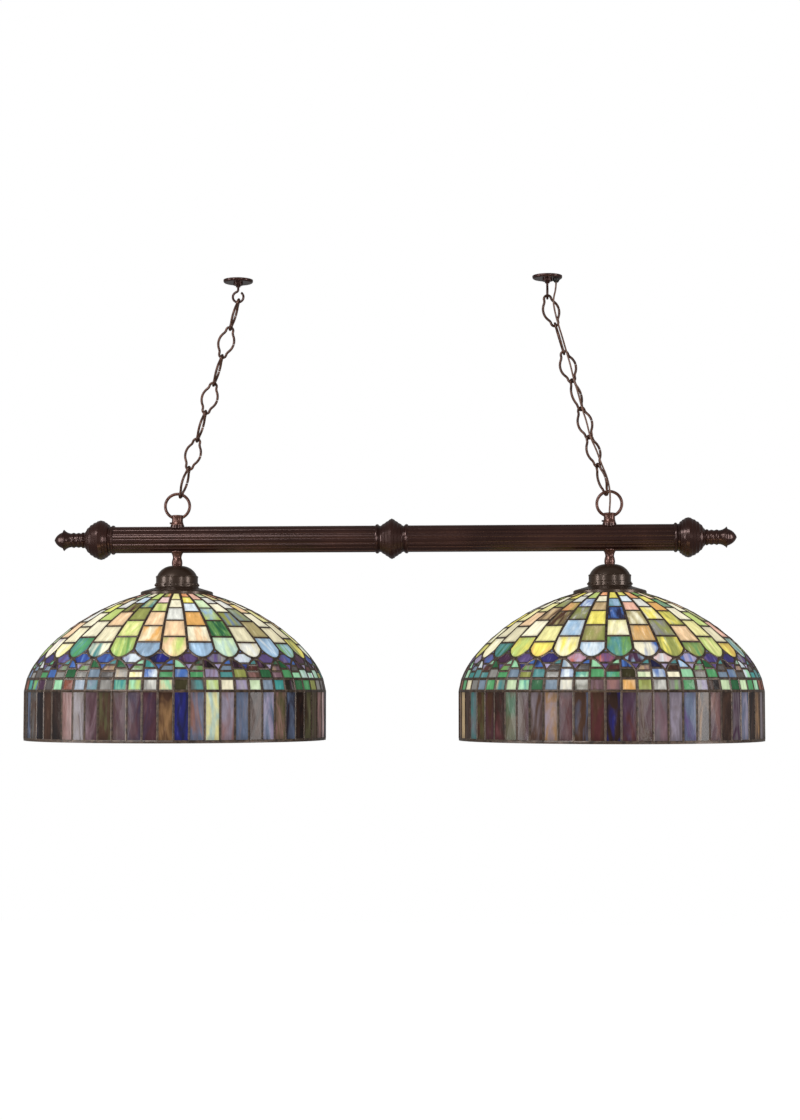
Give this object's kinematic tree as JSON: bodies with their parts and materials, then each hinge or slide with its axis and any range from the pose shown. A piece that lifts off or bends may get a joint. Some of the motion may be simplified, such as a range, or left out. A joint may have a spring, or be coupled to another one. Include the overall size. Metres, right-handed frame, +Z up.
{
  "type": "pool table lamp",
  "caption": "Hanging pool table lamp: leaded-glass domes under a fluted bronze bar with turned ends, carried on open-link chains.",
  "frame": {"origin": "centre of the four ceiling screw holes, on the ceiling plane, midway between the two plates", "axes": "+Z up into the ceiling, +X along the bar to the right, -Y to the front"},
  "size_m": [1.2251, 0.5012, 0.7756],
  "materials": {
    "dark_bronze": "antique bronze lacquer",
    "red_bronze": "lighter reddish bronze lacquer",
    "cover_bronze": "neutral dark bronze lacquer",
    "chain_bronze": "brown bronze, rubbed at the contacts",
    "zinc_steel": "zinc plated",
    "lampholder_black": "moulded phenolic",
    "lead_cover": "plastic insulation",
    "cord_cover": "brown plastic insulation",
    "ring_brass": "aged",
    "crown_glass": "streaky opalescent sheet glass in many colours",
    "scallop_glass": "streaky opalescent sheet glass in many colours",
    "skirt_glass": "darker streaky sheet glass",
    "lead_came": "dark patinated solder",
    "bulb_glass": "frosted"
  },
  "bodies": {
    "ceiling": {"left_ceiling_plate": "dark_bronze", "left_ceiling_hook": "dark_bronze", "left_hook_nut": "dark_bronze", "right_ceiling_plate": "dark_bronze", "right_ceiling_hook": "dark_bronze", "right_hook_nut": "dark_bronze", "cord_bushing": "lampholder_black"},
    "right_top_link": {"right_top_link": "chain_bronze"},
    "right_chain": {"right_chain_links": "chain_bronze", "supply_cord": "cord_cover"},
    "bar": {"centre_coupling": "dark_bronze", "centre_sleeve": "zinc_steel", "wire_connector": "lead_cover", "left_hanging_loop": "red_bronze", "left_set_screw": "dark_bronze", "left_loop_washer": "dark_bronze", "left_bar_tube": "dark_bronze", "left_end_ball": "dark_bronze", "left_finial": "dark_bronze", "left_end_plug": "zinc_steel", "left_nipple": "zinc_steel", "left_stem": "red_bronze", "left_lock_nut": "zinc_steel", "left_lampholder": "lampholder_black", "left_lead": "lead_cover", "right_hanging_loop": "red_bronze", "right_set_screw": "dark_bronze", "right_loop_washer": "dark_bronze", "right_bar_tube": "dark_bronze", "right_end_ball": "dark_bronze", "right_finial": "dark_bronze", "right_end_plug": "zinc_steel", "right_nipple": "zinc_steel", "right_stem": "red_bronze", "right_lock_nut": "zinc_steel", "right_lampholder": "lampholder_black", "right_lead": "lead_cover"},
    "left_chain": {"left_chain_links": "chain_bronze"},
    "left_top_link": {"left_top_link": "chain_bronze"},
    "left_shade": {"left_socket_cover": "cover_bronze", "left_vase_cap": "cover_bronze", "left_shade_ring": "ring_brass", "left_spider": "ring_brass", "left_crown_glass": "crown_glass", "left_scallop_glass": "scallop_glass", "left_skirt_glass": "skirt_glass", "left_rim_came": "lead_came"},
    "right_shade": {"right_socket_cover": "cover_bronze", "right_vase_cap": "cover_bronze", "right_shade_ring": "ring_brass", "right_spider": "ring_brass", "right_crown_glass": "crown_glass", "right_scallop_glass": "scallop_glass", "right_skirt_glass": "skirt_glass", "right_rim_came": "lead_came"},
    "left_bulb": {"left_bulb": "bulb_glass", "left_bulb_base": "zinc_steel"},
    "right_bulb": {"right_bulb": "bulb_glass", "right_bulb_base": "zinc_steel"}
  },
  "joints": [
    {"name": "lamp_swing", "type": "hinge", "parent": "ceiling", "child": "right_top_link", "pos_m": [0.261, 0, -0.038], "axis": [1, 0, 0], "range_deg": [-25, 25]},
    {"name": "lamp_sway", "type": "hinge", "parent": "right_top_link", "child": "right_chain", "pos_m": [0.27405, 0, -0.08271], "axis": [0, 1, 0], "range_deg": [-6, 6], "deforming": ["supply_cord"]},
    {"name": "right_loop_pivot", "type": "hinge", "parent": "right_chain", "child": "bar", "pos_m": [0.35621, 0, -0.36419], "axis": [0, 1, 0], "range_deg": [-6, 6]},
    {"name": "left_loop_pivot", "type": "hinge", "parent": "bar", "child": "left_chain", "pos_m": [-0.35621, 0, -0.36419], "axis": [0, 1, 0], "range_deg": [-6, 6]},
    {"name": "left_link_pivot", "type": "hinge", "parent": "left_chain", "child": "left_top_link", "pos_m": [-0.27405, 0, -0.08271], "axis": [0, 1, 0], "range_deg": [-7, 7]},
    {"name": "left_shade_turn", "type": "hinge", "parent": "bar", "child": "left_shade", "pos_m": [-0.362, 0, -0.52561], "axis": [0, 0, 1], "continuous": true},
    {"name": "left_bulb_turn", "type": "hinge", "parent": "bar", "child": "left_bulb", "pos_m": [-0.362, 0, -0.59061], "axis": [0, 0, 1], "continuous": true},
    {"name": "right_shade_turn", "type": "hinge", "parent": "bar", "child": "right_shade", "pos_m": [0.362, 0, -0.52561], "axis": [0, 0, 1], "continuous": true},
    {"name": "right_bulb_turn", "type": "hinge", "parent": "bar", "child": "right_bulb", "pos_m": [0.362, 0, -0.59061], "axis": [0, 0, 1], "continuous": true}
  ],
  "couplings": [
    {"joint": "right_loop_pivot", "follows": "lamp_sway", "ratio": -0.7693},
    {"joint": "left_loop_pivot", "follows": "lamp_sway", "ratio": 0.7693},
    {"joint": "left_link_pivot", "follows": "lamp_sway", "ratio": -1}
  ]
}
